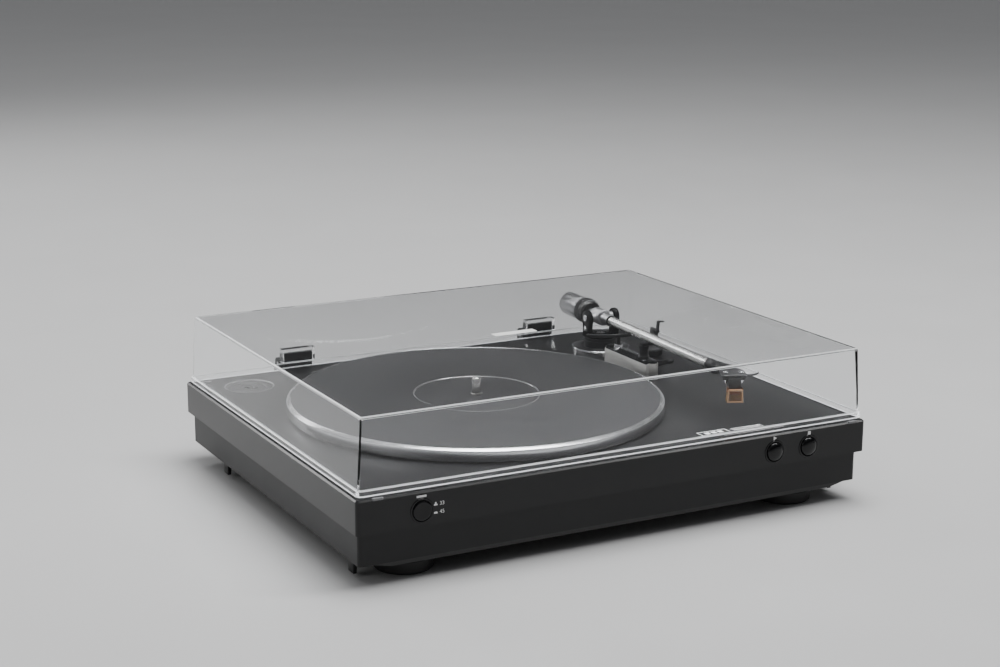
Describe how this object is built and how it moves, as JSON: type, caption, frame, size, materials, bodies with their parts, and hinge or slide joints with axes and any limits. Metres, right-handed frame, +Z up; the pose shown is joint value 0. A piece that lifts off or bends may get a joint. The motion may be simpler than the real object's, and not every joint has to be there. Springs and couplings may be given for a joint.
{
  "type": "turntable record player",
  "caption": "Belt-driven automatic record player with a straight tonearm, push buttons and a hinged clear dust cover.",
  "frame": {"origin": "on the table, under the middle of the whole player, hinges and buttons included", "axes": "+Z up; the front with the push buttons faces -Y; +X towards the tonearm side"},
  "size_m": [0.44, 0.372, 0.1245],
  "materials": {
    "case_black": "satin black painted case",
    "tray_black": "textured black moulding",
    "panel_black": "black fibreboard",
    "foot_rubber": "matt rubber",
    "screw_steel": "zinc plated",
    "bearing_brass": "turned brass",
    "motor_steel": "plain steel can",
    "belt_rubber": "smooth rubber",
    "board_green": "solder mask green",
    "component_black": "moulded packages",
    "gloss_black": "polished black",
    "trim_chrome": "bright edge",
    "plate_black": "black painted steel",
    "plated_brass": "plated",
    "mechanism_steel": "zinc plated sheet",
    "machined_aluminium": "fine turned",
    "mat_rubber": "matt, finely ringed",
    "spindle_steel": "polished",
    "gear_nylon": "natural nylon",
    "smoked_acrylic": "clear with a light smoke tint, polished edges",
    "label_white": "blank white label",
    "bumper_rubber": "soft",
    "hinge_black": "moulded",
    "arm_black": "satin black",
    "arm_grey": "satin anodised",
    "tube_aluminium": "smooth anodised tube",
    "block_aluminium": "machined block",
    "shell_black": "satin black",
    "stylus_dark": "dark amber moulding",
    "guard_amber": "translucent amber",
    "weight_metal": "black plated"
  },
  "bodies": {
    "case": {"base_tray": "tray_black", "bottom_panel": "panel_black", "top_deck": "case_black", "feet": "foot_rubber", "case_screws": "screw_steel", "bearing_housing": "bearing_brass", "motor": "motor_steel", "chassis_screws": "screw_steel", "drive_belt": "belt_rubber", "control_board": "board_green", "board_components": "component_black", "button_switches": "component_black", "button_bezels": "trim_chrome", "jack_plate": "plate_black", "audio_sockets": "plated_brass", "ground_post": "screw_steel", "power_inlet": "component_black", "hinge_brackets": "hinge_black", "hinge_pins": "screw_steel", "hinge_screws": "screw_steel", "arm_base": "trim_chrome", "arm_turret": "arm_black", "arm_bracket": "block_aluminium", "bracket_cover": "arm_black", "arm_rest": "arm_black", "lift_cylinder": "arm_black", "mechanism_plate": "mechanism_steel"},
    "platter": {"platter": "machined_aluminium", "platter_mat": "mat_rubber", "spindle": "spindle_steel", "drive_pinion": "gear_nylon"},
    "motor_pulley": {"motor_pulley": "bearing_brass"},
    "cover": {"dust_cover": "smoked_acrylic", "cover_label": "label_white", "hinge_leaves": "hinge_black", "cover_bumpers": "bumper_rubber"},
    "arm_pillar": {"arm_yoke": "arm_black", "pivot_screws": "trim_chrome", "arm_shaft": "screw_steel"},
    "tonearm": {"arm_housing": "arm_grey", "arm_tube": "tube_aluminium", "headshell": "shell_black", "cartridge": "component_black", "stylus": "stylus_dark", "cartridge_screws": "screw_steel"},
    "weight_bush": {"weight_bush": "gear_nylon"},
    "counterweight": {"counterweight": "weight_metal"},
    "force_dial": {"force_dial": "arm_black"},
    "stylus_guard": {"stylus_guard": "guard_amber"},
    "rest_clip": {"rest_clip": "arm_black"},
    "cue_lever": {"cue_lever": "arm_black"},
    "lift_bar": {"lift_bar": "arm_black"},
    "cam_gear": {"cam_gear": "gear_nylon"},
    "speed_button": {"speed_button": "gloss_black"},
    "start_button": {"start_button": "gloss_black"},
    "stop_button": {"stop_button": "gloss_black"},
    "preamp_switch": {"preamp_switch": "component_black"},
    "adapter_45": {"adapter_45": "arm_black"},
    "antiskate_knob": {"antiskate_knob": "arm_black"}
  },
  "joints": [
    {"name": "cover_hinge", "type": "hinge", "parent": "case", "child": "cover", "pos_m": [0, 0.179, 0.0695], "axis": [-1, 0, 0], "range_deg": [0, 65]},
    {"name": "platter_spin", "type": "hinge", "parent": "case", "child": "platter", "pos_m": [-0.037, -0.0082, 0.07], "axis": [0, 0, 1], "continuous": true},
    {"name": "pulley_spin", "type": "hinge", "parent": "case", "child": "motor_pulley", "pos_m": [-0.099, 0.0578, 0.069], "axis": [0, 0, 1], "continuous": true},
    {"name": "arm_swing", "type": "hinge", "parent": "case", "child": "arm_pillar", "pos_m": [0.1437, 0.0976, 0.0985], "axis": [0, 0, -1], "range_deg": [0, 43]},
    {"name": "arm_tilt", "type": "hinge", "parent": "arm_pillar", "child": "tonearm", "pos_m": [0.1437, 0.0976, 0.0985], "axis": [-0.9991, 0.0433, 0], "range_deg": [0, 4]},
    {"name": "weight_slide", "type": "slide", "parent": "tonearm", "child": "weight_bush", "axis": [-0.0433, -0.9991, 0], "range_m": [-0.0015, 0.003]},
    {"name": "weight_turn", "type": "hinge", "parent": "weight_bush", "child": "counterweight", "pos_m": [0.14571, 0.14406, 0.0985], "axis": [-0.0433, -0.9991, 0], "range_deg": [-362, 724]},
    {"name": "force_dial_turn", "type": "hinge", "parent": "counterweight", "child": "force_dial", "pos_m": [0.14478, 0.12258, 0.0985], "axis": [-0.0433, -0.9991, 0], "continuous": true},
    {"name": "guard_flip", "type": "hinge", "parent": "tonearm", "child": "stylus_guard", "pos_m": [0.13083, -0.12875, 0.0893], "axis": [-0.9065, 0.4223, 0], "range_deg": [0, 60]},
    {"name": "clip_close", "type": "hinge", "parent": "case", "child": "rest_clip", "pos_m": [0.14661, 0.0147, 0.10425], "axis": [-0.0433, -0.9991, 0], "range_deg": [0, 96]},
    {"name": "cue_lever_turn", "type": "hinge", "parent": "case", "child": "cue_lever", "pos_m": [0.1439, 0.012, 0.0745], "axis": [-1, 0, 0], "range_deg": [-28, 0]},
    {"name": "lift_move", "type": "slide", "parent": "case", "child": "lift_bar", "axis": [0, 0, 1], "range_m": [-0.00502, 0]},
    {"name": "cam_gear_turn", "type": "hinge", "parent": "case", "child": "cam_gear", "pos_m": [-0.001, 0.0398, 0.0585], "axis": [0, 0, 1], "continuous": true},
    {"name": "speed_press", "type": "slide", "parent": "case", "child": "speed_button", "axis": [0, 1, 0], "range_m": [0, 0.002], "stiffness_N_per_m": 600},
    {"name": "start_press", "type": "slide", "parent": "case", "child": "start_button", "axis": [0, 1, 0], "range_m": [0, 0.002], "stiffness_N_per_m": 600},
    {"name": "stop_press", "type": "slide", "parent": "case", "child": "stop_button", "axis": [0, 1, 0], "range_m": [0, 0.002], "stiffness_N_per_m": 600},
    {"name": "preamp_select", "type": "slide", "parent": "case", "child": "preamp_switch", "axis": [1, 0, 0], "range_m": [0, 0.0048]},
    {"name": "adapter_lift", "type": "slide", "parent": "case", "child": "adapter_45", "axis": [0, 0, 1], "range_m": [0, 0.02]},
    {"name": "antiskate_turn", "type": "hinge", "parent": "case", "child": "antiskate_knob", "pos_m": [0.178, 0.065, 0.0695], "axis": [0, 0, -1], "range_deg": [0, 270]}
  ],
  "couplings": [
    {"joint": "pulley_spin", "follows": "platter_spin", "ratio": 12},
    {"joint": "weight_turn", "follows": "weight_slide", "rad_per_m": 4188.8},
    {"joint": "lift_move", "follows": "cue_lever_turn", "m_per_rad": 0.0102}
  ]
}
